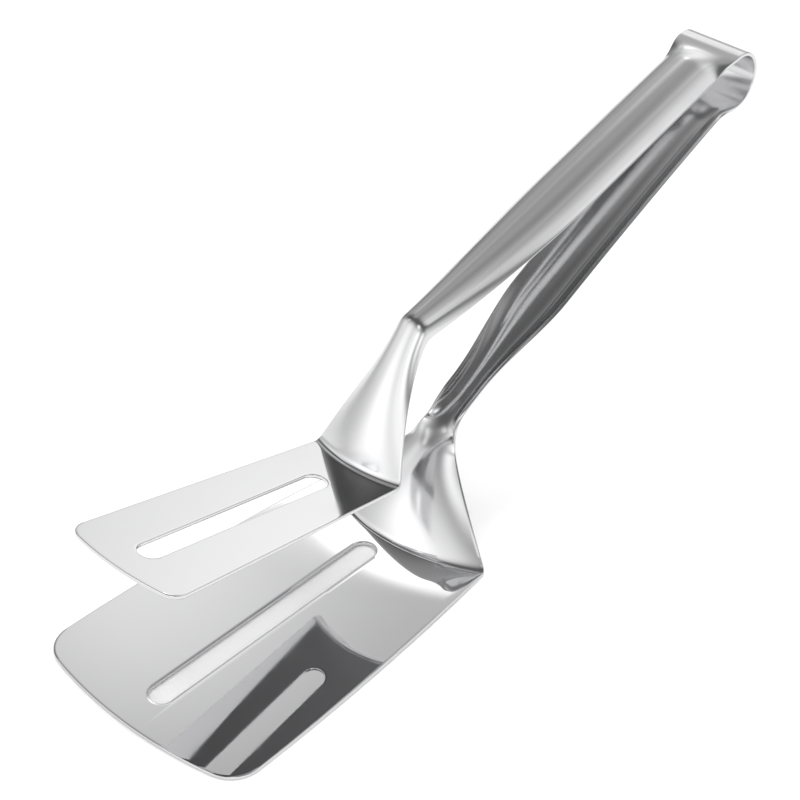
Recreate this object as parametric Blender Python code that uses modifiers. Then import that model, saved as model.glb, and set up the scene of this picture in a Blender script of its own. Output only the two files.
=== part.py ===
"""Sprung steak tongs, folded and pressed from one strip of stainless sheet.

A broad slotted turning blade and a narrower slotted press blade face each other. Each one bends up
through a flared neck into a channel-shaped handle, and a rolled bow at the end joins the two arms
and springs them open. The origin is under the middle of the tongs, on the surface that the broad
blade lies on. +X runs from the blade tips to the bow, and the tongs are symmetric about Y = 0.
"""

import math

import bmesh
import bpy
import numpy as np

MM = 0.001
DEGREE = math.pi / 180

# Sheet, and the hairline gap that parts neighbouring formed zones
SHEET = 1.2 * MM
SEAM = 0.3 * MM

# Broad lower blade
LOWER_BLADE_LENGTH = 106.9 * MM
LOWER_TIP_WIDTH = 75.8 * MM
LOWER_ROOT_WIDTH = 63.4 * MM
LOWER_SIDE_BULGE = 1.5 * MM
LOWER_TIP_SAG = 5.2 * MM
LOWER_CORNER_RADIUS = 10.0 * MM
LOWER_CREASE_SAG = 8.6 * MM
LOWER_SLOT_WIDTH = 7.3 * MM
LOWER_SLOT_TIP_GAP = 10.4 * MM
LOWER_SLOT_CREASE_GAP = 5.5 * MM

# Narrow upper blade
UPPER_BLADE_LENGTH = 90.2 * MM
UPPER_TIP_WIDTH = 39.4 * MM
UPPER_ROOT_WIDTH = 31.2 * MM
UPPER_SIDE_BULGE = 0.0 * MM
UPPER_TIP_SAG = 2.2 * MM
UPPER_CORNER_RADIUS = 5.0 * MM
UPPER_CREASE_SAG = 3.2 * MM
UPPER_SLOT_WIDTH = 7.3 * MM
UPPER_SLOT_TIP_GAP = 8.7 * MM
UPPER_SLOT_CREASE_GAP = 11.9 * MM

# Necks, from the crease at the blade up to the fold at the handle
LOWER_NECK_LENGTH = 34.8 * MM
LOWER_NECK_ANGLE = 62.8 * DEGREE
LOWER_WAIST_WIDTH = 10.2 * MM
LOWER_CREASE_BEND = 1.2 * MM
LOWER_FOLD_BEND = 4.0 * MM
LOWER_DISHING_LENGTH = 16.0 * MM
LOWER_NECK_BELLY = 2.6 * MM
UPPER_NECK_LENGTH = 42.6 * MM
UPPER_NECK_ANGLE = 73.0 * DEGREE
UPPER_NECK_CURVE = 1.5 * MM
UPPER_WAIST_WIDTH = 9.6 * MM
UPPER_FOLD_DEPTH = 5.2 * MM
UPPER_CREASE_BEND = 1.5 * MM
UPPER_FOLD_BEND = 1.0 * MM

# Handles: channels that bow a little towards each other
HANDLE_DEPTH = 4.3 * MM
GRIP_WIDTH = 19.2 * MM
LOWER_HANDLE_LENGTH = 139.2 * MM
LOWER_HANDLE_ANGLE = 25.9 * DEGREE
LOWER_HANDLE_CURVE = 2.0 * MM
LOWER_CURVE_POWER = 1
LOWER_WAIST_LENGTH = 12.0 * MM
LOWER_SHOULDER_LENGTH = 38.0 * MM
UPPER_HANDLE_LENGTH = 140.2 * MM
UPPER_HANDLE_ANGLE = 27.4 * DEGREE
UPPER_HANDLE_CURVE = 1.3 * MM
UPPER_CURVE_POWER = 2
UPPER_SHOULDER_LENGTH = 72.0 * MM
CHANNEL_FADE_LENGTH = 9.0 * MM
CHANNEL_END_SETBACK = 2.0 * MM
STRIP_FLARE_LENGTH = 8.6 * MM

# Rolled bow, the spring of the tongs
BOW_RADIUS = 9.1 * MM
STRIP_WIDTH = 22.3 * MM

# How far the tongs stand open, measured between the planes of the two blades
OPEN_ANGLE = 12.2 * DEGREE

# Facets of the formed zones
COLUMNS = 20
BEND_ROWS = 4
NECK_ROWS = 12
HANDLE_ROWS = 30
BOW_ROWS = 18
CORNER_STEPS = 6
SIDE_STEPS = 6
TIP_STEPS = 8
SLOT_STEPS = 8

# Smallest half-angle of a section's arc, and the softness of the flare into a waist, as shares
FLATTEST_ARC = 0.01
FLARE_SOFTNESS_SHARE = 0.24

ACROSS = np.linspace(-1.0, 1.0, COLUMNS + 1)


def ease(value):
    """Smooth step from 0 to 1 as value runs from 0 to 1."""
    t = np.clip(value, 0.0, 1.0)
    return t * t * (3.0 - 2.0 * t)


def along(angle):
    """Unit vector in the side plane, at an angle up from +X."""
    return np.array([math.cos(angle), 0.0, math.sin(angle)])


def normal(angle):
    """Unit vector in the side plane, a quarter turn up from along(angle)."""
    return along(angle + math.pi / 2)


def section(centre, angle, half_width, depth, seat, slip=0.0):
    """One row of points across the sheet.

    The row is an arc of a circle in the plane square to along(angle). depth is the arc's rise along
    the normal, negative for a hollow, and seat is the share of it that lies below the centre. slip
    moves the middle of the row back along the strip, as a crease in a flat blade does.
    """
    spread = max(2.0 * math.atan2(abs(depth), half_width), FLATTEST_ARC)
    y = half_width * np.sin(spread * ACROSS) / math.sin(spread)
    rise = (np.cos(spread * ACROSS) - math.cos(spread)) / (1.0 - math.cos(spread))
    row = np.outer(y, [0.0, 1.0, 0.0]) + np.outer(depth * (rise - seat), normal(angle))
    return centre + row - np.outer(slip * rise, along(angle))


def mitred(centre, angle_before, angle_after, half_width, depth, seat):
    """A row in the plane that halves the bend between two straight runs of the strip."""
    stretch = 1.0 / math.cos((angle_after - angle_before) / 2)
    return section(centre, (angle_before + angle_after) / 2, half_width, depth * stretch, seat)


def bend(before, corner, after, reach):
    """Rows that round the corner row, starting and ending reach away from it on every line."""

    def towards(row):
        step = row - corner
        return corner + step * (reach / np.linalg.norm(step, axis=1))[:, None]

    first, last = towards(before), towards(after)
    shares = np.linspace(0.0, 1.0, BEND_ROWS + 1)
    return [(1 - t) ** 2 * first + 2 * t * (1 - t) * corner + t * t * last for t in shares]


def fillet(before, corner, after, radius):
    """Points of an arc that rounds a corner of an outline."""
    to_before = (before - corner) / np.linalg.norm(before - corner)
    to_after = (after - corner) / np.linalg.norm(after - corner)
    half = math.acos(float(to_before @ to_after)) / 2
    middle = (to_before + to_after) / np.linalg.norm(to_before + to_after)
    centre = corner + middle * (radius / math.sin(half))
    start = corner + to_before * (radius / math.tan(half)) - centre
    end = corner + to_after * (radius / math.tan(half)) - centre
    opening = math.pi - 2.0 * half
    shares = np.linspace(0.0, 1.0, CORNER_STEPS + 1)
    return [
        centre + (start * math.sin((1.0 - t) * opening) + end * math.sin(t * opening)) / math.sin(opening)
        for t in shares
    ]


class Blade:
    """Outline of one blade in its own plane, the crease corners on X = 0 and the tip at -X."""

    def __init__(self, upper):
        self.length = UPPER_BLADE_LENGTH if upper else LOWER_BLADE_LENGTH
        self.tip_half = (UPPER_TIP_WIDTH if upper else LOWER_TIP_WIDTH) / 2
        self.root_half = (UPPER_ROOT_WIDTH if upper else LOWER_ROOT_WIDTH) / 2
        self.side_bulge = UPPER_SIDE_BULGE if upper else LOWER_SIDE_BULGE
        self.tip_sag = UPPER_TIP_SAG if upper else LOWER_TIP_SAG
        self.corner_radius = UPPER_CORNER_RADIUS if upper else LOWER_CORNER_RADIUS
        self.crease_sag = UPPER_CREASE_SAG if upper else LOWER_CREASE_SAG
        self.slot_width = UPPER_SLOT_WIDTH if upper else LOWER_SLOT_WIDTH
        self.tip_gap = UPPER_SLOT_TIP_GAP if upper else LOWER_SLOT_TIP_GAP
        self.crease_gap = UPPER_SLOT_CREASE_GAP if upper else LOWER_SLOT_CREASE_GAP

    def side(self, share, root_x):
        """Point on the +Y side, from the root at 0 to the tip at 1."""
        half = self.root_half + (self.tip_half - self.root_half) * share
        half += self.side_bulge * 4.0 * share * (1.0 - share)
        return np.array([root_x + (-self.length - root_x) * share, half])

    def tip(self, share):
        """Point on the tip's edge, from the middle at 0 to the +Y corner at 1."""
        return np.array([-self.length - self.tip_sag * (1.0 - share * share), self.tip_half * share])

    def outline(self, root_x):
        """Closed outline, which starts at the crease's +Y corner."""
        radius = self.corner_radius
        side_shares = np.linspace(0.0, 1.0 - 2.0 * radius / self.length, SIDE_STEPS + 1)
        tip_shares = np.linspace(1.0 - radius / self.tip_half, 0.0, TIP_STEPS + 1)
        half_outline = [self.side(share, root_x) for share in side_shares]
        corner = np.array([-self.length, self.tip_half])
        half_outline += fillet(half_outline[-1], corner, self.tip(tip_shares[0]), radius)
        half_outline += [self.tip(share) for share in tip_shares[1:]]
        mirrored = [point * np.array([1.0, -1.0]) for point in reversed(half_outline[1:-1])]
        root = [
            np.array([root_x - self.crease_sag * (1.0 - u * u), self.root_half * u])
            for u in ACROSS[:-1]
        ]
        return half_outline + mirrored + root

    def slot(self):
        """Outline of the round-ended slot, which stops short of the tip and of the crease."""
        radius = self.slot_width / 2
        front = -self.length - self.tip_sag + self.tip_gap + radius
        back = -self.crease_sag - self.crease_gap - radius
        points = []
        for centre_x, first in ((back, -math.pi / 2), (front, math.pi / 2)):
            for turn in np.linspace(first, first + math.pi, SLOT_STEPS + 1):
                points.append(np.array([centre_x + radius * math.cos(turn), radius * math.sin(turn)]))
        return points


class Arm:
    """Rows of one arm, from the crease at its blade to the end of its handle."""

    def __init__(self, upper):
        self.upper = upper
        tilt = OPEN_ANGLE if upper else 0.0
        self.blade_angle = -tilt
        self.neck_angle = (UPPER_NECK_ANGLE if upper else LOWER_NECK_ANGLE) - tilt
        self.handle_angle = (UPPER_HANDLE_ANGLE if upper else LOWER_HANDLE_ANGLE) - tilt
        self.neck_length = UPPER_NECK_LENGTH if upper else LOWER_NECK_LENGTH
        self.handle_length = UPPER_HANDLE_LENGTH if upper else LOWER_HANDLE_LENGTH
        self.blade = Blade(upper)
        self.waist_half = (UPPER_WAIST_WIDTH if upper else LOWER_WAIST_WIDTH) / 2
        self.crease_bend = UPPER_CREASE_BEND if upper else LOWER_CREASE_BEND
        self.fold_bend = UPPER_FOLD_BEND if upper else LOWER_FOLD_BEND
        self.curve_power = UPPER_CURVE_POWER if upper else LOWER_CURVE_POWER
        # towards the other arm: up for the lower handle, down for the upper one
        self.curve = -UPPER_HANDLE_CURVE if upper else LOWER_HANDLE_CURVE
        self.channel = HANDLE_DEPTH if upper else -HANDLE_DEPTH
        lower_fold = LOWER_NECK_LENGTH * along(LOWER_NECK_ANGLE)
        lower_end = lower_fold + LOWER_HANDLE_LENGTH * along(LOWER_HANDLE_ANGLE)
        self.crease, self.fold, self.end = np.zeros(3), lower_fold, lower_end
        if upper:
            lower = Arm(False)
            bow_centre = lower.end + BOW_RADIUS * normal(lower.end_angle())
            self.end = bow_centre + BOW_RADIUS * normal(self.end_angle())
            self.fold = self.end - UPPER_HANDLE_LENGTH * along(self.handle_angle)
            self.crease = self.fold - UPPER_NECK_LENGTH * along(self.neck_angle)

    def handle_lift(self, share):
        """How far the handle bows off its straight line, and its slope there, at a share of it."""
        power = self.curve_power
        peak = self.curve * (1 + power) ** (1 + power) / power ** power
        lift = peak * share * (1.0 - share) ** power
        slope = peak / self.handle_length * (1.0 - share) ** (power - 1) * (1.0 - (1 + power) * share)
        return lift, slope

    def end_angle(self):
        """Direction of the handle where it meets the bow."""
        return self.handle_angle + math.atan(self.handle_lift(1.0)[1])

    def widening(self, travel):
        """Share by which the waist has widened into the grip, at a distance up from the fold."""
        if self.upper:
            return 1.0 - (1.0 - min(travel / UPPER_SHOULDER_LENGTH, 1.0)) ** 2
        return ease((travel - LOWER_WAIST_LENGTH) / LOWER_SHOULDER_LENGTH)

    def neck_row(self, share):
        """A row of the neck, at a share of its length up from the crease."""
        soft = FLARE_SOFTNESS_SHARE
        flare = (math.hypot(1.0 - share, soft) - soft) / (math.hypot(1.0, soft) - soft)
        half = self.waist_half + (self.blade.root_half - self.waist_half) * flare
        crease = section(self.crease, self.blade_angle, half, 0.0, 0.0, self.blade.crease_sag)
        if self.upper:
            fold = section(self.fold, self.handle_angle, half, UPPER_FOLD_DEPTH, 0.5)
            lift = 4.0 * UPPER_NECK_CURVE * share * (1.0 - share) * normal(self.neck_angle)
            return crease * (1.0 - share) + fold * share + lift
        travel = (share - 1.0) * self.neck_length
        fold = section(self.fold, self.handle_angle, half, 0.0, 0.0)
        crowned = crease * (1.0 - share) + fold * share
        hollow = self.channel * self.dishing(travel)
        dished = section(np.zeros(3), self.neck_angle, half, hollow, 0.5) * [1, 0, 1]
        belly = 4.0 * LOWER_NECK_BELLY * share * (1.0 - share) * (1.0 - ACROSS ** 2)
        return crowned + dished + np.outer(belly, normal(self.neck_angle))

    def dishing(self, travel):
        """Share of the channel's depth, at a distance up from the lower fold."""
        return ease(travel / LOWER_DISHING_LENGTH + 0.5)

    def handle_row(self, travel):
        """A row of the handle, at a distance up from the fold."""
        lift, slope = self.handle_lift(travel / self.handle_length)
        centre = self.fold + travel * along(self.handle_angle) + lift * normal(self.handle_angle)
        angle = self.handle_angle + math.atan(slope)
        widening = self.widening(travel)
        half = self.waist_half + (GRIP_WIDTH / 2 - self.waist_half) * widening
        if self.upper:
            depth = UPPER_FOLD_DEPTH + (HANDLE_DEPTH - UPPER_FOLD_DEPTH) * widening
        else:
            depth = self.channel * self.dishing(travel)
        left = self.handle_length - travel
        half = STRIP_WIDTH / 2 + (half - STRIP_WIDTH / 2) * ease(left / STRIP_FLARE_LENGTH)
        channel = ease((left - CHANNEL_END_SETBACK) / CHANNEL_FADE_LENGTH)
        return section(centre, angle, half, depth * channel, 0.5)

    def neck_rows(self):
        """The neck's rows, with the bends at the crease and at the fold."""
        crease = self.neck_row(0.0)
        flat = crease - self.crease_bend * along(self.blade_angle)
        reach = self.crease_bend / self.neck_length
        fold_reach = 2.0 * self.fold_bend / self.neck_length
        shares = np.linspace(2.0 * reach, 1.0 - fold_reach, NECK_ROWS)
        necks = [self.neck_row(share) for share in shares]
        if self.upper:
            fold = self.neck_row(1.0)
        else:
            depth = self.channel * self.dishing(0.0)
            fold = mitred(self.fold, self.neck_angle, self.handle_angle, self.waist_half, depth, 0.5)
        beyond = self.handle_row(2.0 * self.fold_bend)
        rows = bend(flat, crease, necks[0], self.crease_bend)
        rows += necks
        rows += bend(necks[-1], fold, beyond, self.fold_bend)
        return rows + [beyond]

    def handle_rows(self):
        """The handle's rows, from just above the fold to the bow."""
        start = 2.0 * self.fold_bend + SEAM
        stations = np.linspace(start, self.handle_length - SEAM, HANDLE_ROWS + 1)
        return [self.handle_row(travel) for travel in stations]


def bow_rows(lower, upper):
    """Rows of the bow, a flat strip rolled from the lower handle's end round to the upper's."""
    centre = lower.end + BOW_RADIUS * normal(lower.end_angle())
    first = lower.end_angle() - math.pi / 2
    last = upper.end_angle() + math.pi / 2
    rows = []
    for turn in np.linspace(first, last, BOW_ROWS + 1):
        spot = centre + BOW_RADIUS * along(turn)
        rows.append(section(spot, turn + math.pi / 2, STRIP_WIDTH / 2, 0.0, 0.0))
    return rows


def finish(name, colour, roughness):
    """Bright stainless steel of one formed zone."""
    material = bpy.data.materials.new(name)
    material.use_nodes = True
    shader = material.node_tree.nodes["Principled BSDF"]
    shader.inputs["Base Color"].default_value = (*colour, 1.0)
    shader.inputs["Metallic"].default_value = 1.0
    shader.inputs["Roughness"].default_value = roughness
    return material


def place(obj, collection, colour, parent=None, roughness=0.08):
    """Puts a piece into the collection with its finish, and on its pivot if it moves."""
    collection.objects.link(obj)
    obj.data.materials.append(finish(obj.name + "_steel", colour, roughness))
    if parent:
        obj.location = obj.location - parent.location
        obj.parent = parent


def formed_sheet(name, rows, offset, anchor):
    """A formed zone: a sheet lofted through its rows, then given its thickness."""
    rings = np.array(rows) + offset - anchor
    body = bmesh.new()
    vertices = [[body.verts.new(point) for point in ring] for ring in rings]
    for low, high in zip(vertices, vertices[1:]):
        for column in range(COLUMNS):
            body.faces.new((low[column], high[column], high[column + 1], low[column + 1]))
    bmesh.ops.recalc_face_normals(body, faces=body.faces)
    mesh = bpy.data.meshes.new(name)
    body.to_mesh(mesh)
    body.free()
    mesh.shade_smooth()
    obj = bpy.data.objects.new(name, mesh)
    obj.location = anchor
    wall = obj.modifiers.new("sheet", "SOLIDIFY")
    wall.thickness = SHEET
    wall.offset = 0.0
    wall.use_even_offset = True
    return obj


def flat_blade(name, outline, slot, origin, angle):
    """A flat blade: its outline with the slot cut out, as thick as the sheet."""
    curve = bpy.data.curves.new(name, "CURVE")
    curve.dimensions = "2D"
    curve.fill_mode = "BOTH"
    curve.extrude = SHEET / 2
    for points in (outline, slot):
        spline = curve.splines.new("POLY")
        spline.points.add(len(points) - 1)
        for target, point in zip(spline.points, points):
            target.co = (point[0], point[1], 0.0, 1.0)
        spline.use_cyclic_u = True
    obj = bpy.data.objects.new(name, curve)
    obj.location = origin
    obj.rotation_euler = (0.0, -angle, 0.0)
    return obj


def main():
    for obj in list(bpy.data.objects):
        bpy.data.objects.remove(obj)
    tongs = bpy.data.collections.new("steak_tongs")
    bpy.context.scene.collection.children.link(tongs)

    lower, upper = Arm(False), Arm(True)
    bow_centre = lower.end + BOW_RADIUS * normal(lower.end_angle())
    front = -LOWER_BLADE_LENGTH - LOWER_TIP_SAG
    back = bow_centre[0] + BOW_RADIUS + SHEET / 2
    offset = np.array([-(front + back) / 2, 0.0, SHEET / 2])

    # the bow bends about the centroid of its arc
    turn = math.pi + upper.end_angle() - lower.end_angle()
    middle = (upper.end_angle() + lower.end_angle()) / 2
    pivot = bow_centre + offset + BOW_RADIUS * math.sin(turn / 2) / (turn / 2) * along(middle)
    hinge = bpy.data.objects.new("squeeze_pivot", None)
    hinge.location = pivot
    tongs.objects.link(hinge)
    print("squeeze pivot", [round(float(value), 5) for value in pivot])

    steel_light, steel_mid, steel_dark = (0.72, 0.72, 0.73), (0.6, 0.6, 0.61), (0.45, 0.45, 0.46)
    rest = np.zeros(3)
    for name, arm, parent, anchor in (("lower", lower, None, rest), ("upper", upper, hinge, pivot)):
        outline = arm.blade.outline(-arm.crease_bend - SEAM)
        origin = arm.crease + offset
        blade = flat_blade(name + "_blade", outline, arm.blade.slot(), origin, arm.blade_angle)
        place(blade, tongs, steel_light, parent)
        neck = formed_sheet(name + "_neck", arm.neck_rows(), offset, anchor)
        place(neck, tongs, steel_mid, parent)
        handle = formed_sheet(name + "_handle", arm.handle_rows(), offset, anchor)
        place(handle, tongs, steel_mid if parent else steel_dark, parent)
    bow = formed_sheet("bow_spring", bow_rows(lower, upper), offset, rest)
    place(bow, tongs, steel_light)


main()
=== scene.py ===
"""Steak tongs of mirror-polished stainless steel, folded from one strip and sprung by a rolled bow.

Lengths are fields in millimetres and angles are fields in degrees. The finished meshes are in
metres, in the frame that the part was packed in: +X from the blade tips to the bow, +Z up, the
broad blade lying on Z = 0.
"""

import logging
import math
from dataclasses import dataclass, field
from enum import Enum

import bmesh
import bpy
import numpy as np
from mathutils import Matrix, Vector


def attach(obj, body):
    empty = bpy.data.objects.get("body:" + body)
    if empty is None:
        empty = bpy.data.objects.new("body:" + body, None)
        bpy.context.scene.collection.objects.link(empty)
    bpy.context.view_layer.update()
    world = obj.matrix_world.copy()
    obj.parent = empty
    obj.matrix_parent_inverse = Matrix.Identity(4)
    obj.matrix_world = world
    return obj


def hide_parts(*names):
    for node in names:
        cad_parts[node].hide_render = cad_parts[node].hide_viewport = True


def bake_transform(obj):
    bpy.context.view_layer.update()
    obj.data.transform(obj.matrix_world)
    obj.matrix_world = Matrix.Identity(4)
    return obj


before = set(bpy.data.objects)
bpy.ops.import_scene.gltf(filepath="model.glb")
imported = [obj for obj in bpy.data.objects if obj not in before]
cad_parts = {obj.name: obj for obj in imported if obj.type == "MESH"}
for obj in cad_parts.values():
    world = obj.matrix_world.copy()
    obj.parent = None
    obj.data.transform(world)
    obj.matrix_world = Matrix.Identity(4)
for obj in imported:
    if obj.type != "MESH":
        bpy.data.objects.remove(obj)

LOG = logging.getLogger("steak_tongs")
MM = 0.001
DRAWN = "drawn_share"

# turns in radians: arcs and faces below the first count as flat, edges above the second as cut
FLAT_TURN = 0.01
CUT_TURN = 1.0

# millimetres within which two points are one, and within which a cut runs through a point
MERGE_REACH = 0.005
CUT_REACH = 0.001


class Side(Enum):
    """The two arms of the tongs, by the body that each one rides on."""

    LOWER = "lower_arm"
    UPPER = "upper_arm"


class Stage(Enum):
    """Names of what stands round the tongs and isn't part of them."""

    FLOOR = "studio_floor"
    CAMERA = "studio_camera"
    LAMP = "overhead_lamp"
    WORLD = "studio_world"


def srgb(code: str) -> tuple[float, float, float, float]:
    """Linear colour of an sRGB hex code.

    Args:
        code: Six hex digits, with or without a leading mark.
    Returns:
        Red, green, blue and an alpha of one.
    """
    digits = code.lstrip("#")
    values = [int(digits[place : place + 2], 16) / 255.0 for place in (0, 2, 4)]
    linear = [v / 12.92 if v <= 0.04045 else ((v + 0.055) / 1.055) ** 2.4 for v in values]
    return (*linear, 1.0)


def add_node(
    tree: bpy.types.NodeTree, kind: str, settings: dict | None = None, inputs: dict | None = None
) -> bpy.types.Node:
    """Adds a node with its settings and links.

    Args:
        tree: The node tree to add to.
        kind: The node's Blender type.
        settings: Attributes to set, by name.
        inputs: A value or an output socket for each input, by name or number.
    Returns:
        The new node.
    """
    node = tree.nodes.new(kind)
    for name, value in (settings or {}).items():
        setattr(node, name, value)
    for name, value in (inputs or {}).items():
        if isinstance(value, bpy.types.NodeSocket):
            tree.links.new(value, node.inputs[name])
        else:
            node.inputs[name].default_value = value
    return node


def empty_material(name: str) -> bpy.types.Material:
    """A material without any nodes.

    Args:
        name: Its name.
    Returns:
        The material, ready for its nodes.
    """
    material = bpy.data.materials.new(name)
    material.use_nodes = True
    material.node_tree.nodes.clear()
    return material


def mark_drawn(mesh: bpy.types.Mesh, shares: np.ndarray) -> None:
    """Notes on a mesh how far the press has stretched each of its points.

    Args:
        mesh: The finished mesh.
        shares: A share for each point, from 0 on an untouched blade to 1 on a neck and more on the bow.
    """
    drawn = mesh.attributes.new(DRAWN, "FLOAT", "POINT")
    drawn.data.foreach_set("value", shares)


def ease(value: np.ndarray | float) -> np.ndarray | float:
    """Smooth step from 0 to 1 as value runs from 0 to 1."""
    t = np.clip(value, 0.0, 1.0)
    return t * t * (3.0 - 2.0 * t)


def along(angle: float) -> np.ndarray:
    """Unit vector in the side plane, at an angle in radians up from +X."""
    return np.array([math.cos(angle), 0.0, math.sin(angle)])


def normal(angle: float) -> np.ndarray:
    """Unit vector in the side plane, a quarter turn up from along(angle)."""
    return along(angle + math.pi / 2)


@dataclass(frozen=True)
class PolishedSteel:
    """Mirror-polished stainless steel, as buffed after pressing."""

    name: str = "mirror_polished_stainless"
    slot: str = "polished_stainless"
    tint: str = "#CECECF"
    roughness: float = 0.02
    scuffed_roughness: float = 0.07
    drawn_roughness: float = 0.12
    patch_size: float = 14.0
    patch_start: float = 0.45
    patch_full: float = 0.75
    ripple_depth: float = 0.006
    ripple_size: float = 18.0
    buffing_depth: float = 0.0004
    buffing_size: float = 0.25
    buffing_stretch: tuple[float, float, float] = (0.04, 1.0, 0.04)

    def material(self) -> bpy.types.Material:
        """Builds the finish.

        Returns:
            The material, with its pattern laid in the piece's own coordinates.
        """
        material = empty_material(self.name)
        tree = material.node_tree
        place = add_node(tree, "ShaderNodeTexCoord").outputs["Object"]
        # faint cloudy patches where fingers and buffing left the mirror a little softer
        patches = add_node(
            tree,
            "ShaderNodeTexNoise",
            inputs={"Vector": place, "Scale": 1.0 / (self.patch_size * MM), "Detail": 4.0},
        )
        roughness = add_node(
            tree,
            "ShaderNodeMapRange",
            inputs={
                "Value": patches.outputs["Fac"],
                "From Min": self.patch_start,
                "From Max": self.patch_full,
                "To Min": self.roughness,
                "To Max": self.scuffed_roughness,
            },
        )
        # where the press stretched the sheet its skin is softer, so handles blur what blades mirror
        drawn = add_node(tree, "ShaderNodeAttribute", {"attribute_name": DRAWN})
        softened = add_node(
            tree,
            "ShaderNodeMath",
            {"operation": "MULTIPLY_ADD"},
            {0: drawn.outputs["Fac"], 1: self.drawn_roughness, 2: roughness.outputs["Result"]},
        )
        # buffing lines along the strip, coarser than real ones so that they show: they draw the
        # reflections out a little lengthwise
        stretched = add_node(
            tree, "ShaderNodeMapping", inputs={"Vector": place, "Scale": self.buffing_stretch}
        )
        lines = add_node(
            tree,
            "ShaderNodeTexNoise",
            inputs={
                "Vector": stretched.outputs["Vector"],
                "Scale": 1.0 / (self.buffing_size * MM),
                "Detail": 2.0,
            },
        )
        # slow ripple of the pressed sheet: straight reflections wander by a hair
        ripple = add_node(
            tree,
            "ShaderNodeTexNoise",
            inputs={"Vector": place, "Scale": 1.0 / (self.ripple_size * MM), "Detail": 1.0},
        )
        waves = add_node(
            tree,
            "ShaderNodeBump",
            inputs={
                "Strength": 1.0,
                "Distance": self.ripple_depth * MM,
                "Height": ripple.outputs["Fac"],
            },
        )
        grain = add_node(
            tree,
            "ShaderNodeBump",
            inputs={
                "Strength": 1.0,
                "Distance": self.buffing_depth * MM,
                "Height": lines.outputs["Fac"],
                "Normal": waves.outputs["Normal"],
            },
        )
        shader = add_node(
            tree,
            "ShaderNodeBsdfPrincipled",
            inputs={
                "Base Color": srgb(self.tint),
                "Metallic": 1.0,
                "Roughness": softened.outputs["Value"],
                "Normal": grain.outputs["Normal"],
            },
        )
        add_node(tree, "ShaderNodeOutputMaterial", inputs={"Surface": shader.outputs["BSDF"]})
        return material


@dataclass(frozen=True)
class StudioPaper:
    """Matt white paper sweep that the tongs lie on."""

    name: str = "white_paper_sweep"
    colour: str = "#FBFBFB"
    roughness: float = 0.9
    fibre_size: float = 1.5
    fibre_depth: float = 0.02
    fibre_strength: float = 0.2

    def material(self) -> bpy.types.Material:
        """Builds the finish.

        Returns:
            The material.
        """
        material = empty_material(self.name)
        tree = material.node_tree
        place = add_node(tree, "ShaderNodeTexCoord").outputs["Object"]
        # paper fibre: breaks the flat white by a fraction of a percent
        fibre = add_node(
            tree,
            "ShaderNodeTexNoise",
            inputs={"Vector": place, "Scale": 1.0 / (self.fibre_size * MM), "Detail": 3.0},
        )
        bump = add_node(
            tree,
            "ShaderNodeBump",
            inputs={
                "Strength": self.fibre_strength,
                "Distance": self.fibre_depth * MM,
                "Height": fibre.outputs["Fac"],
            },
        )
        shader = add_node(
            tree,
            "ShaderNodeBsdfPrincipled",
            inputs={
                "Base Color": srgb(self.colour),
                "Roughness": self.roughness,
                "Normal": bump.outputs["Normal"],
            },
        )
        add_node(tree, "ShaderNodeOutputMaterial", inputs={"Surface": shader.outputs["BSDF"]})
        return material


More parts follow.
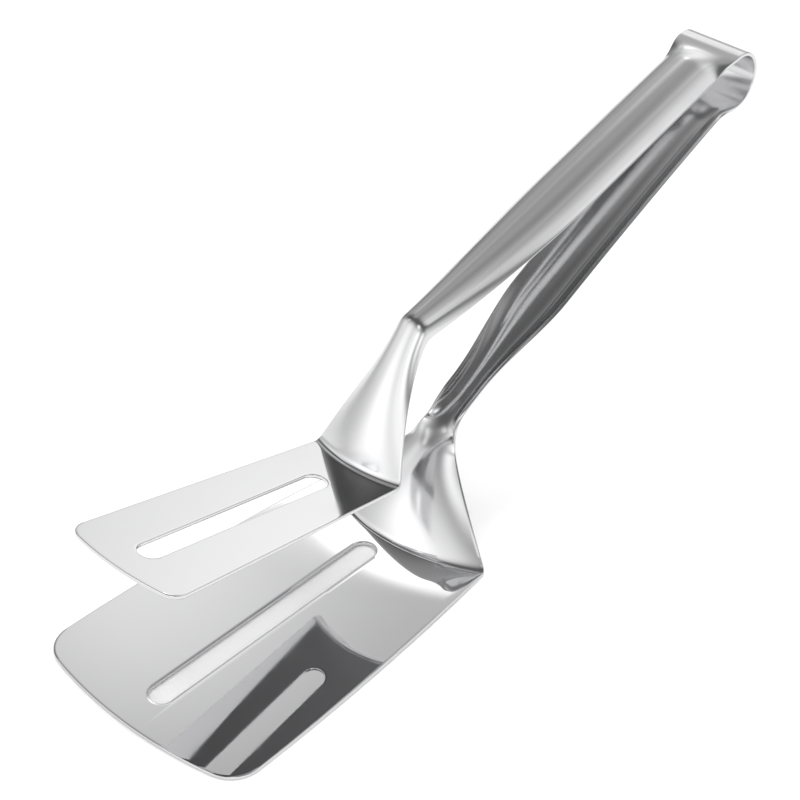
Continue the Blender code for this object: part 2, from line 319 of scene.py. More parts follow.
@dataclass
class Strip:
    """The sheet that everything is folded from, and how finely it is laid."""

    width: float = 22.3
    thickness: float = 1.2
    edge_radius: float = 0.26
    edge_segments: int = 3
    columns: int = 48
    row_step: float = 0.35
    bend_rows: int = 13
    softening: float = 0.8
    join_slack: float = 0.02
    join_reach: float = 15.0
    shading_weight: int = 60
    across: np.ndarray = field(init=False)

    def __post_init__(self) -> None:
        """Spreads the columns over the width."""
        self.across = np.linspace(-1.0, 1.0, self.columns + 1)

    def section(
        self,
        centre: np.ndarray,
        angle: float,
        half_width: float,
        depth: float = 0.0,
        seat: float = 0.0,
        slip: float = 0.0,
    ) -> np.ndarray:
        """One row of points across the sheet, laid as an arc.

        Args:
            centre: The point that the row is laid about.
            angle: Direction of the strip in the side plane.
            half_width: Half the row's width.
            depth: Rise of the middle over the edges, negative for a hollow.
            seat: Share of the rise that lies below the centre.
            slip: How far the middle is set back along the strip.
        Returns:
            The row's points.
        """
        u = self.across
        spread = max(2.0 * math.atan2(abs(depth), half_width), FLAT_TURN)
        y = half_width * np.sin(spread * u) / math.sin(spread)
        rise = (np.cos(spread * u) - math.cos(spread)) / (1.0 - math.cos(spread))
        row = np.outer(y, [0.0, 1.0, 0.0]) + np.outer(depth * (rise - seat), normal(angle))
        return centre + row - np.outer(slip * rise, along(angle))

    def bend(
        self, before: np.ndarray, corner: np.ndarray, after: np.ndarray, reach: float
    ) -> list[np.ndarray]:
        """Rounds a fold.

        Args:
            before: A row before the fold.
            corner: The row that the fold would have if it were sharp.
            after: A row after the fold.
            reach: How far from the corner the rounding starts and ends, on every line.
        Returns:
            The rows of the rounding.
        """

        def towards(row: np.ndarray) -> np.ndarray:
            """Points that lie reach away from the corner's, towards a row."""
            step = row - corner
            return corner + step * (reach / np.linalg.norm(step, axis=1))[:, None]

        first, last = towards(before), towards(after)
        return [
            (1 - t) ** 2 * first + 2 * t * (1 - t) * corner + t * t * last
            for t in np.linspace(0.0, 1.0, self.bend_rows)
        ]

    def evened(self, rows: list[np.ndarray]) -> np.ndarray:
        """The rows at even steps along the strip, softened as drawn metal is.

        Args:
            rows: Rows in order along the strip, at any distance from each other.
        Returns:
            Rows one step apart, with the first and the last kept.
        """
        laid = np.array(rows)
        middle = laid.mean(axis=1)
        travel = np.concatenate([[0.0], np.cumsum(np.linalg.norm(np.diff(middle, axis=0), axis=1))])
        count = int(round(travel[-1] / self.row_step))
        stations = np.linspace(0.0, travel[-1], count + 1)
        flat = laid.reshape(len(laid), -1)
        even = np.stack([np.interp(stations, travel, flat[:, k]) for k in range(flat.shape[1])], axis=1)
        # a bell-shaped blur three deviations wide, past straight run-outs that hold the ends in place
        reach = int(math.ceil(3.0 * self.softening / self.row_step))
        weights = np.exp(-0.5 * (np.arange(-reach, reach + 1) * self.row_step / self.softening) ** 2)
        weights /= weights.sum()
        steps = np.arange(reach, 0, -1)[:, None]
        head = even[0] + steps * (even[0] - even[1])
        tail = even[-1] + steps[::-1] * (even[-1] - even[-2])
        padded = np.concatenate([head, even, tail])
        soft = sum(w * padded[k : k + len(even)] for k, w in enumerate(weights))
        return soft.reshape(len(even), *laid.shape[1:])

    def grid(self, rows: np.ndarray) -> bmesh.types.BMesh:
        """Lays a sheet without thickness over rows.

        Args:
            rows: The rows, all with as many points.
        Returns:
            The sheet, with a vertex on each point.
        """
        body = bmesh.new()
        lengthwise, across = rows.shape[0] - 1, rows.shape[1] - 1
        bmesh.ops.create_grid(body, x_segments=across, y_segments=lengthwise, size=1.0)
        for vertex in body.verts:
            column = round((vertex.co.x + 1.0) / 2.0 * across)
            row = round((vertex.co.y + 1.0) / 2.0 * lengthwise)
            vertex.co = rows[row, column] * MM
        return body

    def thickened(self, name: str, body: bmesh.types.BMesh) -> bpy.types.Mesh:
        """Gives a sheet its thickness.

        Args:
            name: Name of the sheet.
            body: The sheet's middle surface, which is used up.
        Returns:
            The mesh of the thick sheet.
        """
        bmesh.ops.remove_doubles(body, verts=body.verts, dist=MERGE_REACH * MM)
        bmesh.ops.recalc_face_normals(body, faces=body.faces)
        mesh = bpy.data.meshes.new(name)
        body.to_mesh(mesh)
        body.free()
        plain = bpy.data.objects.new(name + "_middle", mesh)
        bpy.context.scene.collection.objects.link(plain)
        wall = plain.modifiers.new("sheet", "SOLIDIFY")
        wall.thickness = self.thickness * MM
        wall.offset = 0.0
        wall.use_even_offset = True
        graph = bpy.context.evaluated_depsgraph_get()
        thick = bpy.data.meshes.new_from_object(plain.evaluated_get(graph))
        bpy.data.objects.remove(plain)
        return thick

    def joined(self, edge: bmesh.types.BMEdge, joins: list[tuple[np.ndarray, float]]) -> bool:
        """Whether an edge lies on an end that meets another piece.

        Args:
            edge: An edge of the thick sheet.
            joins: Point and direction of each such end.
        Returns:
            True where it lies on one of them.
        """
        spots = [np.array(vert.co) / MM for vert in edge.verts]
        return any(
            all(
                abs(float((spot - point) @ along(angle))) < self.join_slack
                and np.linalg.norm(spot - point) < self.join_reach
                for spot in spots
            )
            for point, angle in joins
        )

    def walled(
        self, name: str, sheet: bmesh.types.BMesh, joins: list[tuple[np.ndarray, float]]
    ) -> bpy.types.Object:
        """Gives a sheet its thickness and its rounded edges.

        Args:
            name: Name of the new object.
            sheet: The sheet's middle surface, which is used up.
            joins: Point and direction of each end that meets another piece and stays square.
        Returns:
            The object, at the origin.
        """
        thick = self.thickened(name, sheet)
        body = bmesh.new()
        body.from_mesh(thick)
        cut = [e for e in body.edges if e.calc_face_angle(0.0) > CUT_TURN and not self.joined(e, joins)]
        bmesh.ops.bevel(
            body,
            geom=cut,
            offset=self.edge_radius * MM,
            offset_type="OFFSET",
            segments=self.edge_segments,
            profile=0.5,
            affect="EDGES",
            material=-1,
        )
        bmesh.ops.recalc_face_normals(body, faces=body.faces)
        for face in body.faces:
            face.smooth = True
        # the square ends stay sharp, so the strip's shading runs on from one piece to the next
        for edge in body.edges:
            edge.smooth = not self.joined(edge, joins)
        body.to_mesh(thick)
        body.free()
        thick.name = name
        obj = bpy.data.objects.new(name, thick)
        bpy.context.scene.collection.objects.link(obj)
        weighted = obj.modifiers.new("weighted", "WEIGHTED_NORMAL")
        weighted.mode = "FACE_AREA"
        weighted.weight = self.shading_weight
        weighted.keep_sharp = True
        return obj


@dataclass
class Blade:
    """A flat blade with one round-ended slot, which may dip a little towards its crease."""

    length: float
    tip_width: float
    root_width: float
    side_bulge: float
    tip_sag: float
    corner_radius: float
    crease_sag: float
    slot_width: float
    slot_tip_gap: float
    slot_crease_gap: float
    rim: float = 0.8
    dip: float = 0.0
    dip_length: float = 15.0
    dip_softness: float = 3.0
    dip_row: float = 1.0
    dip_column: float = 2.5
    curve_points: int = 33
    corner_points: int = 25

    def outline(self, root_x: float, across: np.ndarray) -> list[np.ndarray]:
        """Closed outline in the blade's own plane, the tip at -X.

        Args:
            root_x: Where the outline's sides end, at the crease.
            across: Columns of the strip, which the root's arc shares.
        Returns:
            The outline's points in order.
        """
        tip_half, root_half = self.tip_width / 2, self.root_width / 2

        def side(share: float) -> np.ndarray:
            """Point of the side, at a share of the way from the crease to the tip."""
            bulge = self.side_bulge * 4.0 * share * (1.0 - share)
            half = root_half + (tip_half - root_half) * share + bulge
            return np.array([root_x + (-self.length - root_x) * share, half])

        def tip(share: float) -> np.ndarray:
            """Point of the tip's curve, at a share of half its width."""
            return np.array([-self.length - self.tip_sag * (1.0 - share * share), tip_half * share])

        corner = np.array([-self.length, tip_half])
        side_end = 1.0 - 2.0 * self.corner_radius / self.length
        tip_start = 1.0 - 2.0 * self.corner_radius / self.tip_width
        half_outline = [side(share) for share in np.linspace(0.0, side_end, self.curve_points)]
        half_outline += self.rounded(half_outline[-1], corner, tip(tip_start))
        half_outline += [tip(share) for share in np.linspace(tip_start, 0.0, self.curve_points)[1:]]
        mirrored = [point * np.array([1.0, -1.0]) for point in reversed(half_outline[1:-1])]
        root = [np.array([root_x - self.crease_sag * (1.0 - u * u), root_half * u]) for u in across[:-1]]
        return half_outline + mirrored + root

    def rounded(self, before: np.ndarray, corner: np.ndarray, after: np.ndarray) -> list[np.ndarray]:
        """Rounds the tip's corner.

        Args:
            before: A point of the outline before the corner.
            corner: The corner.
            after: A point of the outline after it.
        Returns:
            Points of the arc that takes the corner's place.
        """
        to_before = (before - corner) / np.linalg.norm(before - corner)
        to_after = (after - corner) / np.linalg.norm(after - corner)
        half = math.acos(float(to_before @ to_after)) / 2
        middle = (to_before + to_after) / np.linalg.norm(to_before + to_after)
        centre = corner + middle * (self.corner_radius / math.sin(half))
        start = corner + to_before * (self.corner_radius / math.tan(half)) - centre
        end = corner + to_after * (self.corner_radius / math.tan(half)) - centre
        opening = math.pi - 2.0 * half
        return [
            centre + (start * math.sin((1.0 - t) * opening) + end * math.sin(t * opening)) / math.sin(opening)
            for t in np.linspace(0.0, 1.0, self.corner_points)
        ]

    def slot(self) -> list[np.ndarray]:
        """Outline of the slot.

        Returns:
            The points of its two round ends, in order.
        """
        radius = self.slot_width / 2
        front = -self.length - self.tip_sag + self.slot_tip_gap + radius
        back = -self.crease_sag - self.slot_crease_gap - radius
        ends = ((back, -math.pi / 2), (front, math.pi / 2))
        return [
            np.array([x + radius * math.cos(turn), radius * math.sin(turn)])
            for x, first in ends
            for turn in np.linspace(first, first + math.pi, self.curve_points)
        ]

    def lift(self, before: float) -> float:
        """Height of the dipped sheet, which rises from the crease and then falls slowly to the tip.

        Args:
            before: Distance before the crease.
        Returns:
            The height over the straight line from the crease to the tip.
        """

        def past(reach: float) -> float:
            """How far a distance before the crease lies past the dip, with a soft start."""
            return (reach - self.dip_length + math.hypot(reach - self.dip_length, self.dip_softness)) / 2

        slope = math.tan(math.radians(self.dip))
        turn = slope * self.length / (past(self.length) - past(0.0))
        return slope * before - turn * (past(before) - past(0.0))

    def dipped(self, body: bmesh.types.BMesh, middle: list[bmesh.types.BMFace], root_x: float) -> None:
        """Cuts the sheet into fine cells before the crease and bends it down towards the crease.

        Args:
            body: The flat sheet.
            middle: Its faces inside the rim.
            root_x: Where the outline's sides end, at the crease.
        """
        reach = self.crease_sag + 2.0 * self.dip_length
        half = self.tip_width / 2
        cuts = [((root_x - back, 0.0), (1.0, 0.0)) for back in np.arange(self.dip_row, reach, self.dip_row)]
        cuts += [((0.0, y), (0.0, 1.0)) for y in np.arange(-half, half, self.dip_column)]
        for place, facing in cuts:
            edges = {edge for face in middle for edge in face.edges}
            corners = {vert for face in middle for vert in face.verts}
            cut = bmesh.ops.bisect_plane(
                body,
                geom=[*middle, *edges, *corners],
                dist=CUT_REACH * MM,
                plane_co=(place[0] * MM, place[1] * MM, 0.0),
                plane_no=(*facing, 0.0),
            )
            middle = [piece for piece in cut["geom"] if isinstance(piece, bmesh.types.BMFace)]
        for vert in body.verts:
            x, y = vert.co.x / MM, vert.co.y / MM
            crease = root_x - self.crease_sag * (1.0 - (2.0 * y / self.root_width) ** 2)
            vert.co.z = self.lift(crease - x) * MM

    def sheet(
        self, root_x: float, across: np.ndarray, origin: np.ndarray, angle: float
    ) -> bmesh.types.BMesh:
        """The blade without thickness, laid in its place.

        Args:
            root_x: Where the blade ends, at the crease.
            across: Columns of the strip.
            origin: The crease's corner point in the side plane.
            angle: Direction of the blade.
        Returns:
            The sheet.
        """
        body = bmesh.new()
        edges = []
        for points in (self.outline(root_x, across), self.slot()):
            ring = [body.verts.new((point[0] * MM, point[1] * MM, 0.0)) for point in points]
            edges += [body.edges.new(pair) for pair in zip(ring, ring[1:] + ring[:1])]
        bmesh.ops.triangle_fill(
            body, use_beauty=True, use_dissolve=False, edges=edges, normal=(0.0, 0.0, 1.0)
        )
        # one face on each side of the slot, and an even rim for the edges to be rounded in
        bmesh.ops.dissolve_limit(
            body, angle_limit=FLAT_TURN, use_dissolve_boundaries=False, verts=body.verts, edges=body.edges
        )
        rim = bmesh.ops.inset_region(
            body, faces=body.faces, thickness=self.rim * MM, use_boundary=True, use_even_offset=True
        )["faces"]
        if self.dip:
            self.dipped(body, [face for face in body.faces if face not in rim], root_x)
        turn = Matrix.Rotation(-angle, 4, "Y")
        bmesh.ops.transform(body, matrix=Matrix.Translation(Vector(origin * MM)) @ turn, verts=body.verts)
        return body


@dataclass
class Neck:
    """The flared run from the crease at the blade up to the fold at the handle."""

    length: float
    angle: float
    waist_width: float
    crease_bend: float
    fold_bend: float
    curve: float = 0.0
    fold_depth: float = 0.0
    dishing_length: float = 0.0
    belly: float = 0.0
    flare_softness: float = 0.24
    soft_share: float = 0.2
    rows: int = 60

    def flare(self, share: float) -> float:
        """How much wider than the waist the neck is, at a share of its length up from the crease.

        Args:
            share: The share of its length.
        Returns:
            1 at the crease, 0 at the waist.
        """
        soft = self.flare_softness
        return (math.hypot(1.0 - share, soft) - soft) / (math.hypot(1.0, soft) - soft)

    def dishing(self, travel: float) -> float:
        """Share of the channel's depth, at a distance up from the lower fold."""
        return float(ease(travel / self.dishing_length + 0.5))

    def arch(self, share: float) -> float:
        """A curve that is 0 at both ends of the neck and 1 halfway."""
        return 4.0 * share * (1.0 - share)


@dataclass
class Handle:
    """The channel-shaped handle, which bows a little towards the other arm."""

    length: float
    angle: float
    curve: float
    curve_power: int
    shoulder_start: float
    shoulder_length: float
    grip_width: float = 19.2
    depth: float = 4.3
    fade_length: float = 9.0
    end_setback: float = 2.0
    flare_length: float = 8.6
    line_share: float = 0.5
    line_depth: float = 0.05
    line_width: float = 0.4
    line_fade_share: float = 0.25
    nose_length: float = 11.0
    rows: int = 400

    def lift(self, share: float) -> tuple[float, float]:
        """How far the handle bows off its straight line.

        Args:
            share: Share of the handle's length, up from the fold.
        Returns:
            The distance off the line, and the slope there.
        """
        power = self.curve_power
        peak = self.curve * (1 + power) ** (1 + power) / power**power
        off = peak * share * (1.0 - share) ** power
        slope = peak / self.length * (1.0 - share) ** (power - 1) * (1.0 - (1 + power) * share)
        return off, slope

    def press_line(self, left: float, half_width: float, across: np.ndarray, fade: float) -> np.ndarray:
        """Hairline that the die leaves along each flank, which turns out to the edge at the bow.

        Args:
            left: Distance that is left to the bow.
            half_width: Half the handle's width there.
            across: Columns of the strip.
            fade: How clear the line is there.
        Returns:
            Depth of the line in each column.
        """
        share = min(max(left - self.end_setback, 0.0) / self.nose_length, 1.0)
        place = 1.0 - (1.0 - self.line_share) * math.sqrt(1.0 - (1.0 - share) ** 2)
        away = (np.abs(across) - place) * half_width / self.line_width
        clear = float(ease(share / self.line_fade_share)) * fade
        return self.line_depth * clear * np.exp(-(away**2))


@dataclass
class Bow:
    """The rolled bow that joins the arms and springs them open."""

    radius: float = 9.1
    rows: int = 80
    drawn_share: float = 1.5

    def centre(self, lower: "Arm") -> np.ndarray:
        """Middle of the roll."""
        return lower.end + self.radius * normal(lower.end_angle())

    def build(self, strip: Strip, lower: "Arm", upper: "Arm") -> bpy.types.Object:
        """Rolls the strip from the lower handle's end round to the upper one's.

        Args:
            strip: The sheet it is made of.
            lower: The lower arm.
            upper: The upper arm.
        Returns:
            The bow.
        """
        first = lower.end_angle() - math.pi / 2
        last = upper.end_angle() + math.pi / 2
        shares = (1.0 - np.cos(np.linspace(0.0, math.pi, self.rows + 1))) / 2.0
        rows = []
        for share in shares:
            turn = first + (last - first) * share
            spot = self.centre(lower) + self.radius * along(turn)
            rows.append(strip.section(spot, turn + math.pi / 2, strip.width / 2) + lower.offset)
        joins = [(arm.end + arm.offset, arm.end_angle()) for arm in (lower, upper)]
        rolled = strip.walled("bow_strip", strip.grid(np.array(rows)), joins)
        mark_drawn(rolled.data, np.full(len(rolled.data.vertices), self.drawn_share))
        return rolled


@dataclass
class Arm:
    """One arm: blade, neck and handle as a single run of the strip."""

    side: Side
    blade: Blade
    neck: Neck
    handle: Handle
    strip: Strip
    tilt: float = 0.0
    crease: np.ndarray = field(default_factory=lambda: np.zeros(3))
    offset: np.ndarray = field(default_factory=lambda: np.zeros(3))

    def __post_init__(self) -> None:
        """Works out the directions and corner points of the run."""
        tilt = math.radians(self.tilt)
        self.blade_angle = -tilt
        self.neck_angle = math.radians(self.neck.angle) - tilt
        self.handle_angle = math.radians(self.handle.angle) - tilt
        self.crown = 1.0 if self.side is Side.UPPER else -1.0
        self.place(self.crease)

    def place(self, crease: np.ndarray) -> None:
        """Puts the crease at a point, and the fold and the end after it.

        Args:
            crease: The point, in the side plane.
        """
        self.crease = crease
        self.fold = crease + self.neck.length * along(self.neck_angle)
        self.end = self.fold + self.handle.length * along(self.handle_angle)

    def hang_from(self, lower: "Arm", bow: Bow) -> None:
        """Puts this arm where its end meets the bow that rises from the lower one.

        Args:
            lower: The lower arm.
            bow: The bow.
        """
        end = bow.centre(lower) + bow.radius * normal(self.end_angle())
        self.place(self.crease + end - self.end)

    def end_angle(self) -> float:
        """Direction of the handle where it meets the bow."""
        return self.handle_angle + math.atan(self.handle.lift(1.0)[1])

    def widening(self, travel: float) -> float:
        """How far the waist has widened into the grip.

        Args:
            travel: Distance up from the fold.
        Returns:
            0 at the waist, 1 at the grip.
        """
        share = (travel - self.handle.shoulder_start) / self.handle.shoulder_length
        if self.side is Side.UPPER:
            return 1.0 - (1.0 - min(share, 1.0)) ** 2
        return float(ease(share))

    def neck_row(self, share: float) -> np.ndarray:
        """A row of the neck.

        Args:
            share: Share of the neck's length, up from the crease.
        Returns:
            The row's points.
        """
        neck, row = self.neck, self.strip.section
        waist_half, root_half = neck.waist_width / 2, self.blade.root_width / 2
        half = waist_half + (root_half - waist_half) * neck.flare(share)
        crease = row(self.crease, self.blade_angle, half, slip=self.blade.crease_sag)
        if self.side is Side.UPPER:
            fold = row(self.fold, self.handle_angle, half, neck.fold_depth, 0.5)
            lift = neck.curve * neck.arch(share) * normal(self.neck_angle)
            return crease * (1.0 - share) + fold * share + lift
        fold = row(self.fold, self.handle_angle, half)
        hollow = self.crown * self.handle.depth * neck.dishing((share - 1.0) * neck.length)
        dished = row(np.zeros(3), self.neck_angle, half, hollow, 0.5) * [1, 0, 1]
        belly = neck.belly * neck.arch(share) * (1.0 - self.strip.across**2)
        bulged = np.outer(belly, normal(self.neck_angle))
        return crease * (1.0 - share) + fold * share + dished + bulged

    def handle_row(self, travel: float) -> np.ndarray:
        """A row of the handle.

        Args:
            travel: Distance up from the fold.
        Returns:
            The row's points.
        """
        neck, handle = self.neck, self.handle
        lift, slope = handle.lift(travel / handle.length)
        centre = self.fold + travel * along(self.handle_angle) + lift * normal(self.handle_angle)
        angle = self.handle_angle + math.atan(slope)
        widening = self.widening(travel)
        waist_half, strip_half = neck.waist_width / 2, self.strip.width / 2
        half = waist_half + (handle.grip_width / 2 - waist_half) * widening
        if self.side is Side.UPPER:
            depth = neck.fold_depth + (handle.depth - neck.fold_depth) * widening
        else:
            depth = self.crown * handle.depth * neck.dishing(travel)
        left = handle.length - travel
        half = strip_half + (half - strip_half) * float(ease(left / handle.flare_length))
        fade = float(ease((left - handle.end_setback) / handle.fade_length))
        row = self.strip.section(centre, angle, half, depth * fade, 0.5)
        line = handle.press_line(left, half, self.strip.across, widening)
        return row - np.outer(self.crown * line, normal(angle))

    def fold_row(self) -> np.ndarray:
        """The row that the fold would have if it were sharp.

        Returns:
            The row's points.
        """
        if self.side is Side.UPPER:
            return self.neck_row(1.0)
        half_bend = (self.handle_angle - self.neck_angle) / 2
        depth = self.crown * self.handle.depth * self.neck.dishing(0.0) / math.cos(half_bend)
        middle = self.neck_angle + half_bend
        return self.strip.section(self.fold, middle, self.neck.waist_width / 2, depth, 0.5)

    def rows(self) -> list[np.ndarray]:
        """All rows from the blade's end at the crease to the bow.

        Returns:
            The rows in order, closer to each other at the folds.
        """
        neck, handle = self.neck, self.handle
        crease = self.neck_row(0.0)
        flat = crease - neck.crease_bend * along(self.blade_angle)
        first = 2.0 * neck.crease_bend / neck.length
        last = 1.0 - 2.0 * neck.fold_bend / neck.length
        necks = [self.neck_row(share) for share in np.linspace(first, last, neck.rows)]
        start = 2.0 * neck.fold_bend
        rows = self.strip.bend(flat, crease, necks[0], neck.crease_bend)
        rows += necks
        rows += self.strip.bend(necks[-1], self.fold_row(), self.handle_row(start), neck.fold_bend)
        return rows + [self.handle_row(travel) for travel in np.linspace(start, handle.length, handle.rows)]

    def build(self, bow: Bow) -> bpy.types.Object:
        """Forms the arm.

        Args:
            bow: The bow that its end runs on into.
        Returns:
            The arm's strip from the blade's tip to the bow.
        """
        rows = self.strip.evened(self.rows())
        across = self.strip.across
        # the blade's root is the first row, in the blade's own plane
        body = self.blade.sheet(-self.neck.crease_bend, across, self.crease + self.offset, self.blade_angle)
        upright = self.strip.grid(rows + self.offset)
        spare = bpy.data.meshes.new("spare")
        upright.to_mesh(spare)
        upright.free()
        body.from_mesh(spare)
        bpy.data.meshes.remove(spare)
        joins = [(self.end + self.offset, self.end_angle())]
        formed = self.strip.walled(self.side.value + "_strip", body, joins)
        self.mark(formed.data, bow)
        return formed

    def mark(self, mesh: bpy.types.Mesh, bow: Bow) -> None:
        """Notes on the arm's mesh how far the press has stretched it.

        Args:
            mesh: The arm's mesh.
            bow: The bow, whose share the handle reaches at its end.
        """
        spots = np.empty(3 * len(mesh.vertices))
        mesh.vertices.foreach_get("co", spots)
        rise = (spots.reshape(-1, 3) / MM - self.crease - self.offset) @ along(self.neck_angle)
        top = (self.end - self.crease) @ along(self.neck_angle)
        neck_share = ease(0.5 + rise / (self.neck.length * self.neck.soft_share))
        end_share = ease((rise - self.neck.length) / (top - self.neck.length))
        mark_drawn(mesh, neck_share + (bow.drawn_share - 1.0) * end_share)


def lower_arm(strip: Strip) -> Arm:
    """The arm that lies on the floor, with the broad turning blade.

    Args:
        strip: The sheet it is made of.
    Returns:
        The arm, with its crease at the origin.
    """
    blade = Blade(
        length=106.9,
        tip_width=75.8,
        root_width=63.4,
        side_bulge=1.5,
        tip_sag=5.2,
        corner_radius=10.0,
        crease_sag=8.6,
        slot_width=7.3,
        slot_tip_gap=10.4,
        slot_crease_gap=5.5,
        dip=1.7,
    )
    neck = Neck(
        length=34.8,
        angle=62.8,
        waist_width=10.2,
        crease_bend=1.2,
        fold_bend=4.0,
        dishing_length=16.0,
        belly=2.6,
    )
    handle = Handle(
        length=139.2, angle=25.9, curve=2.0, curve_power=1, shoulder_start=12.0, shoulder_length=38.0
    )
    return Arm(Side.LOWER, blade, neck, handle, strip)


def upper_arm(strip: Strip) -> Arm:
    """The arm that springs open, with the narrow press blade.

    Args:
        strip: The sheet it is made of.
    Returns:
        The arm, with its crease at the origin.
    """
    blade = Blade(
        length=90.2,
        tip_width=39.4,
        root_width=31.2,
        side_bulge=0.0,
        tip_sag=2.2,
        corner_radius=5.0,
        crease_sag=3.2,
        slot_width=7.3,
        slot_tip_gap=8.7,
        slot_crease_gap=11.9,
    )
    neck = Neck(
        length=42.6,
        angle=73.0,
        waist_width=9.6,
        crease_bend=1.5,
        fold_bend=1.0,
        curve=1.5,
        fold_depth=5.2,
    )
    handle = Handle(
        length=140.2, angle=27.4, curve=-1.3, curve_power=2, shoulder_start=0.0, shoulder_length=72.0
    )
    return Arm(Side.UPPER, blade, neck, handle, strip, tilt=12.2)


@dataclass(frozen=True)
class SoftLamp:
    """A round lamp behind a diffuser, so far off that only its direction matters."""

    azimuth: float
    elevation: float
    radius: float
    strength: float

    def shade(self, tree: bpy.types.NodeTree, direction: bpy.types.NodeSocket) -> bpy.types.NodeSocket:
        """Adds the lamp's glow to the world's nodes.

        Args:
            tree: The world's nodes.
            direction: The direction that is looked in.
        Returns:
            The lamp's brightness in that direction.
        """
        turn, rise = math.radians(self.azimuth), math.radians(self.elevation)
        aim = (math.cos(turn) * math.cos(rise), math.sin(turn) * math.cos(rise), math.sin(rise))
        facing = add_node(
            tree, "ShaderNodeVectorMath", {"operation": "DOT_PRODUCT"}, {0: direction, 1: aim}
        )
        away = add_node(
            tree, "ShaderNodeMath", {"operation": "ARCCOSINE"}, {0: facing.outputs["Value"]}
        )
        glow = add_node(
            tree,
            "ShaderNodeMapRange",
            {"interpolation_type": "SMOOTHSTEP"},
            {
                "Value": away.outputs["Value"],
                "From Min": math.radians(self.radius),
                "From Max": 0.0,
                "To Min": 0.0,
                "To Max": self.strength,
            },
        )
        return glow.outputs["Result"]


# each lamp's azimuth from +X, elevation and radius in degrees, and its strength
LAMPS = (
    # broad lights: before the blades, behind the bow, and to the camera's right
    SoftLamp(165, 15, 60, 1.65),
    SoftLamp(0, 35, 60, 0.6),
    SoftLamp(-135, 25, 40, 0.75),
    SoftLamp(-30, 45, 40, 0.85),
    SoftLamp(45, 25, 40, 0.55),
    # low lights that carry the paper's white up past the horizon
    SoftLamp(105, 5, 40, 0.65),
    SoftLamp(-75, -5, 40, 1.0),
    SoftLamp(-105, 5, 20, 1.5),
    SoftLamp(-135, 15, 20, 1.7),
    # small lights: a glow on each blade, and the white patch before the broad blade's crease
    SoftLamp(30, 22, 20, 0.6),
    SoftLamp(51, 42, 10, 0.55),
    SoftLamp(41, 36, 7, 2.2),
    # streaks along the upper handle's near edge and its crown
    SoftLamp(-60, 45, 20, 0.5),
    SoftLamp(-60, 35, 10, 0.8),
    SoftLamp(60, 65, 20, 0.25),
    # glows up the flared necks
    SoftLamp(120, 45, 10, 0.9),
    SoftLamp(-130, 48, 16, 1.3),
    SoftLamp(-153, 24, 20, 0.5),
    SoftLamp(118, 26, 24, 0.5),
)


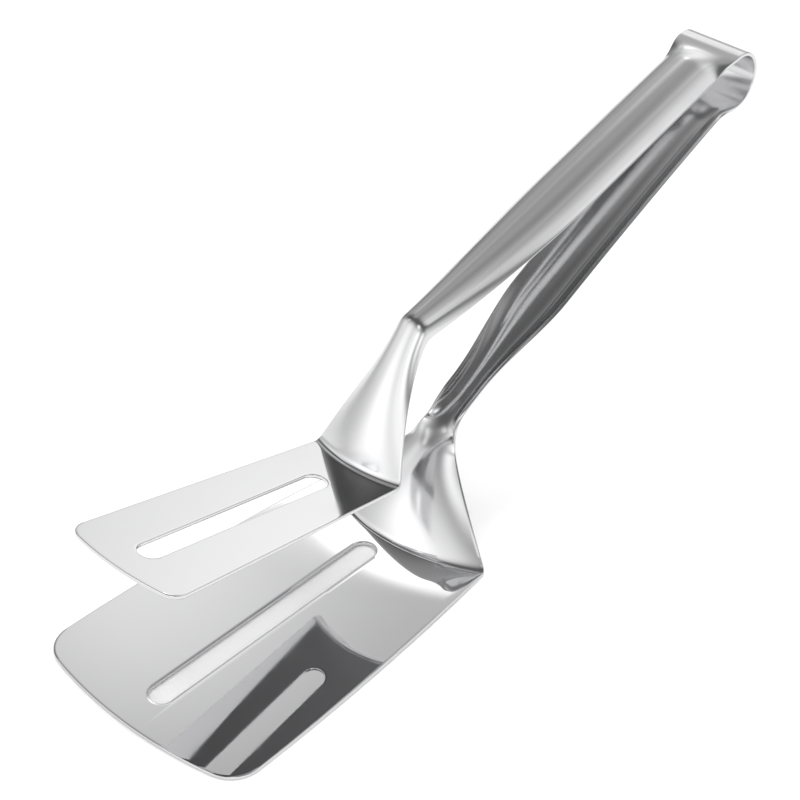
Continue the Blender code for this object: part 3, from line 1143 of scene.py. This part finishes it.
@dataclass
class Studio:
    """Pale floor, soft light and the camera."""

    fill: float = 0.15
    overhead_size: float = 1500.0
    overhead_height: float = 1500.0
    overhead_power: float = 21.0
    floor_size: float = 6000.0
    lens: float = 90.0
    sensor: float = 36.0
    camera_place: tuple[float, float, float] = (-366.58, -291.80, 389.34)
    camera_right: tuple[float, float, float] = (0.66475, -0.74631, 0.03352)
    camera_forward: tuple[float, float, float] = (0.60980, 0.51615, -0.60145)

    def floor(self) -> bpy.types.Object:
        """Lays the floor.

        Returns:
            The floor, which is stage.
        """
        body = bmesh.new()
        bmesh.ops.create_grid(body, x_segments=1, y_segments=1, size=self.floor_size * MM / 2)
        mesh = bpy.data.meshes.new(Stage.FLOOR.value)
        body.to_mesh(mesh)
        body.free()
        floor = bpy.data.objects.new(Stage.FLOOR.value, mesh)
        bpy.context.scene.collection.objects.link(floor)
        mesh.materials.append(StudioPaper().material())
        return floor

    def surround(self) -> bpy.types.World:
        """Sets the soft lamps all round.

        Returns:
            The world that holds them.
        """
        world = bpy.data.worlds.new(Stage.WORLD.value)
        bpy.context.scene.world = world
        world.use_nodes = True
        tree = world.node_tree
        tree.nodes.clear()
        direction = add_node(tree, "ShaderNodeTexCoord").outputs["Generated"]
        total: bpy.types.NodeSocket | float = self.fill
        for lamp in LAMPS:
            glow = lamp.shade(tree, direction)
            both = add_node(tree, "ShaderNodeMath", {"operation": "ADD"}, {0: total, 1: glow})
            total = both.outputs["Value"]
        back = add_node(
            tree, "ShaderNodeBackground", inputs={"Color": srgb("#FFFFFF"), "Strength": total}
        )
        add_node(tree, "ShaderNodeOutputWorld", inputs={"Surface": back.outputs["Background"]})
        return world

    def overhead(self) -> bpy.types.Object:
        """Hangs the lamp that lifts the paper to white, screened off from the steel's reflections.

        Returns:
            The lamp, which is stage.
        """
        data = bpy.data.lights.new(Stage.LAMP.value, "AREA")
        data.shape = "SQUARE"
        data.size = self.overhead_size * MM
        data.energy = self.overhead_power
        overhead = bpy.data.objects.new(Stage.LAMP.value, data)
        overhead.location = (0.0, 0.0, self.overhead_height * MM)
        overhead.visible_glossy = False
        bpy.context.scene.collection.objects.link(overhead)
        return overhead

    def camera(self) -> bpy.types.Object:
        """Sets up the camera where the photograph was taken from.

        Returns:
            The camera.
        """
        data = bpy.data.cameras.new(Stage.CAMERA.value)
        data.lens = self.lens
        data.sensor_width = self.sensor
        camera = bpy.data.objects.new(Stage.CAMERA.value, data)
        bpy.context.scene.collection.objects.link(camera)
        right = Vector(self.camera_right).normalized()
        forward = Vector(self.camera_forward).normalized()
        up = right.cross(forward).normalized()
        turn = Matrix((right, up, -forward)).transposed().to_4x4()
        camera.matrix_world = Matrix.Translation(Vector(self.camera_place) * MM) @ turn
        bpy.context.scene.camera = camera
        return camera


def main() -> None:
    """Builds the tongs and the studio."""
    logging.basicConfig(level=logging.INFO, format="%(message)s")
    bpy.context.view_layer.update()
    strip = Strip()
    bow = Bow()
    lower = lower_arm(strip)
    upper = upper_arm(strip)
    upper.hang_from(lower, bow)
    # the object is centred between the broad blade's tip and the bow, with its underside on the floor
    front = -lower.blade.length - lower.blade.tip_sag
    back = bow.centre(lower)[0] + bow.radius + strip.thickness / 2
    offset = np.array([-(front + back) / 2, 0.0, strip.thickness / 2])
    lower.offset = upper.offset = offset

    steel = PolishedSteel()
    material = steel.material()
    for arm, nodes in (
        (lower, ("lower_blade", "lower_neck", "lower_handle")),
        (upper, ("upper_blade", "upper_neck", "upper_handle")),
    ):
        formed = arm.build(bow)
        formed.data.materials.append(material)
        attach(formed, arm.side.value)
        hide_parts(*nodes)
        LOG.info("%s: %d faces", formed.name, len(formed.data.polygons))
    rolled = bow.build(strip, lower, upper)
    rolled.data.materials.append(material)
    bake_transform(rolled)
    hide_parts("bow_spring")
    LOG.info("%s: %d faces", rolled.name, len(rolled.data.polygons))

    studio = Studio()
    for piece in (studio.floor(), studio.surround(), studio.overhead(), studio.camera()):
        LOG.info("studio: %s", piece.name)
    scene = bpy.context.scene
    scene.view_settings.view_transform = "Standard"


if __name__ == "__main__":
    main()
